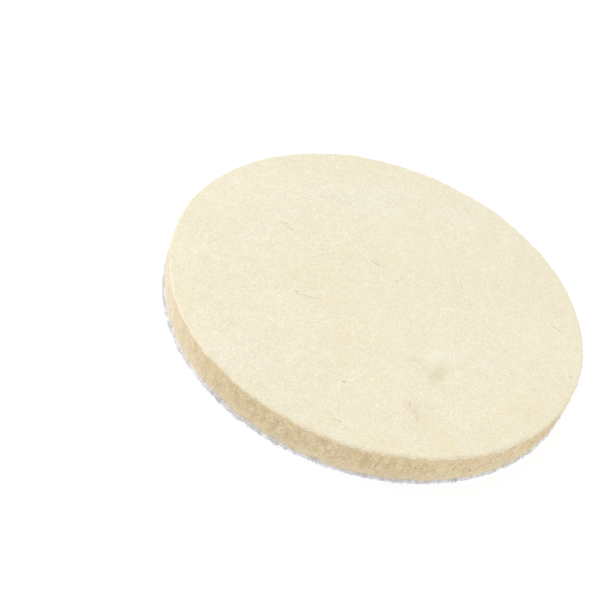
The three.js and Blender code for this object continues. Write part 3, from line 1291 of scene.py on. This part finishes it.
class FELTWHEEL_OT_wool(bpy.types.Operator):
    """Lay fine wool fibres over the face, the rim and the wall"""

    bl_idname = "felt_wheel.wool"
    bl_label = "Wool fibres"

    def execute(self, context):
        look = context.scene.felt_wheel_wool
        lying = {
            "Length": look.fibre_length,
            "Length Spread": 0.45,
            "Thickness": look.fibre_thickness,
            "Curl": 3.0 * MM,
            "Arch": 0.015 * MM,
            "Loose End": 0.06 * MM,
            "Points": 6,
            "Material": thread_material("wool_fibre", colours(look), "wool"),
        }
        standing = {
            "Length": look.fuzz_length,
            "Length Spread": 0.45,
            "Thickness": look.fibre_thickness * 0.8,
            "Curl": 1.6 * MM,
            "Arch": 0.09 * MM,
            "Loose End": 0.8 * MM,
            "Points": 6,
            "Material": thread_material("cut_wool_fibre", colours(look), "cut"),
        }
        tree = felt_fibre_tree()
        strewn_on_felt(tree, "face_fibres_a", FACE_BED, 3, lying)
        strewn_on_felt(tree, "face_fibres_b", FACE_BED, 9, lying)
        strewn_on_felt(tree, "rim_fuzz", RIM_BED, 21, standing)
        strewn_on_felt(tree, "wall_fuzz", WALL_BED, 31, standing)
        return {"FINISHED"}


class FELTWHEEL_OT_hairs(bpy.types.Operator):
    """Lay coarse pale, brown and reddish hairs on the working face"""

    bl_idname = "felt_wheel.hairs"
    bl_label = "Coarse hairs"

    def execute(self, context):
        look = context.scene.felt_wheel_hairs
        thick = look.hair_thickness
        shades = colours(look)
        pale = thread_material("pale_hair", shades, "pale")
        brown = thread_material("brown_hair", shades, "hair")
        rust = thread_material("rust_hair", shades, "rust")
        surface = felt_surface(context)
        keep(laid_hairs("pale_hairs", PALE_HAIRS, thick * 2.0, surface, pale))
        keep(laid_hairs("dark_hairs", DARK_HAIRS, thick, surface, brown))
        keep(laid_hairs("rust_hairs", RUST_HAIRS, thick * 1.2, surface, rust))
        strewn = {
            "Length": 6.0 * MM,
            "Length Spread": 0.45,
            "Thickness": thick,
            "Curl": 6.0 * MM,
            "Arch": 0.015 * MM,
            "Loose End": 0.06 * MM,
            "Points": 12,
            "Material": brown,
        }
        strewn_on_felt(felt_fibre_tree(), "coarse_hairs", COARSE_BED, 51, strewn)
        return {"FINISHED"}


class FELTWHEEL_OT_specks(bpy.types.Operator):
    """Press specks of straw and burr into the felt"""

    bl_idname = "felt_wheel.specks"
    bl_label = "Specks"

    def execute(self, context):
        look = context.scene.felt_wheel_hairs
        straw = thread_material("straw", colours(look), "hair")
        values = {"Size": look.speck_size, "Material": straw}
        strewn_on_felt(speck_tree(), "straw_specks", SPECK_BED, 71, values)
        keep(wall_burrs("wall_burrs", WALL_BURRS, felt_surface(context), straw))
        return {"FINISHED"}


class FELTWHEEL_OT_film(bpy.types.Operator):
    """Make the film of hot-melt glue between the felt and the cloth"""

    bl_idname = "felt_wheel.film"
    bl_label = "Glue film"

    def execute(self, context):
        material = film_material(colours(context.scene.felt_wheel_backing))
        film = thin_layer(context, "glue_film", FILM_RADIUS, FILM_HIGH.z, FILM_LOW.z, material)
        keep(film, ["adhesive_film"])
        return {"FINISHED"}


class FELTWHEEL_OT_cloth(bpy.types.Operator):
    """Make the knitted ground cloth"""

    bl_idname = "felt_wheel.cloth"
    bl_label = "Ground cloth"

    def execute(self, context):
        look = context.scene.felt_wheel_backing
        material = cloth_material(colours(look), look.stitch)
        cloth = thin_layer(context, "ground_cloth", CLOTH_RADIUS, CLOTH_HIGH.z, CLOTH_LOW.z, material)
        keep(cloth, ["loop_ground_cloth"])
        return {"FINISHED"}


class FELTWHEEL_OT_loops(bpy.types.Operator):
    """Hang the loops under the cloth and mat them together along its cut edge"""

    bl_idname = "felt_wheel.loops"
    bl_label = "Loop pile"

    def execute(self, context):
        look = context.scene.felt_wheel_backing
        thread = thread_material("loop_thread", colours(look), "loop")
        loops = self.add_quarters(look, thread)
        loops.append(self.add_fringe(look, thread))
        for piece in loops:
            keep(piece)
        mat = self.add_mat(context, look)
        keep(mat, ["loop_pile"])
        return {"FINISHED"}

    def add_quarters(self, look, thread):
        """The loops of each quarter of the cloth, well inside its edge."""
        tree = loop_pile_tree()
        signs = {"a": (1.0, 1.0), "b": (-1.0, 1.0), "c": (-1.0, -1.0), "d": (1.0, -1.0)}
        made = []
        for number, (letter, (x, y)) in enumerate(signs.items()):
            values = {
                "Pitch": look.stitch,
                "Reach": PILE_RADIUS - 0.8 * MM,
                "Quarter": (x, y, 0.0),
                "Height": look.loop_height,
                "Thickness": look.thread_thickness,
                "Level": CLOTH_LOW.z + 0.05 * MM,
                "Seed": 100 + 10 * number,
                "Material": thread,
            }
            made.append(made_by(tree, "pile_loops_" + letter, bpy.data.meshes.new("start"), values))
        return made

    def add_fringe(self, look, thread):
        """Loops that the die has crushed outwards along the cut edge."""
        values = {
            "Count": FRINGE_LOOPS,
            "Radius": CLOTH_RADIUS + 0.05 * MM,
            "Depth": 0.9 * MM,
            "Height": look.loop_height,
            "Thickness": look.thread_thickness,
            "Level": CLOTH_LOW.z + 0.31 * MM,
            "Seed": 200,
            "Material": thread,
        }
        return made_by(loop_fringe_tree(), "pile_fringe", bpy.data.meshes.new("start"), values)

    def add_mat(self, context, look):
        """A closed ring of loops that the die has pressed into one mat along the cut edge."""
        low = 0.4 * MM
        high = CLOTH_LOW.z
        top = FELT_LOW.z - 0.1 * MM
        inner = CLOTH_RADIUS - 2.2 * MM
        outer = CLOTH_RADIUS + 0.05 * MM
        soft = 0.4 * MM
        section = [
            (inner, high),
            (outer - 0.7 * MM, high),
            (outer - 0.6 * MM, top),
            (outer - 0.15 * MM, top),
            (outer, top - 0.15 * MM),
            (outer, high),
            (outer, (high + low) / 2 + 0.1 * MM),
            *arc(outer - soft, low + soft, soft, 0, -90, 4),
            (outer - 1.0 * MM, low),
            (inner + 0.5 * MM, low + 0.1 * MM),
            (inner, low + 0.4 * MM),
        ]
        values = {
            "Tuft Height": look.tuft_height,
            "Rim Wander": context.scene.felt_wheel_felt.rim_wander,
            "Material": mat_material(colours(look)),
        }
        return made_by(matted_rim_tree(), "pile_rim", round_ring("pile_rim", section, MAT_COLUMNS), values)


class FELTWHEEL_PT_panel(bpy.types.Panel):
    """Lists the wheel's pieces"""

    bl_idname = "FELTWHEEL_PT_panel"
    bl_label = "Felt Polishing Wheel"
    bl_space_type = "VIEW_3D"
    bl_region_type = "UI"
    bl_category = "Felt Wheel"

    def draw(self, context):
        for name, (_, operators) in SECTIONS.items():
            box = self.layout.box()
            for operator in operators:
                box.operator(operator.bl_idname)
            settings = getattr(context.scene, name)
            for setting in settings.__annotations__:
                box.prop(settings, setting)


# Each group of settings, with the operators that it serves, in the order they run.
SECTIONS = {
    "felt_wheel_stage": (FeltWheelStage, (FELTWHEEL_OT_stage,)),
    "felt_wheel_felt": (FeltWheelFelt, (FELTWHEEL_OT_felt,)),
    "felt_wheel_wool": (FeltWheelWool, (FELTWHEEL_OT_wool,)),
    "felt_wheel_hairs": (FeltWheelHairs, (FELTWHEEL_OT_hairs, FELTWHEEL_OT_specks)),
    "felt_wheel_backing": (FeltWheelBacking, (FELTWHEEL_OT_film, FELTWHEEL_OT_cloth, FELTWHEEL_OT_loops)),
}
GROUPS = {name: group for name, (group, _) in SECTIONS.items()}
OPERATORS = [operator for _, operators in SECTIONS.values() for operator in operators]
CLASSES = (*GROUPS.values(), *OPERATORS, FELTWHEEL_PT_panel)


def register():
    for entry in CLASSES:
        bpy.utils.register_class(entry)
    for name, group in GROUPS.items():
        setattr(bpy.types.Scene, name, bpy.props.PointerProperty(type=group))


def unregister():
    for name in GROUPS:
        delattr(bpy.types.Scene, name)
    for entry in reversed(CLASSES):
        bpy.utils.unregister_class(entry)


def main():
    """Registers the add-on and builds every piece."""
    register()
    for operator in OPERATORS:
        group, name = operator.bl_idname.split(".")
        getattr(getattr(bpy.ops, group), name)()


if __name__ == "__main__":
    main()
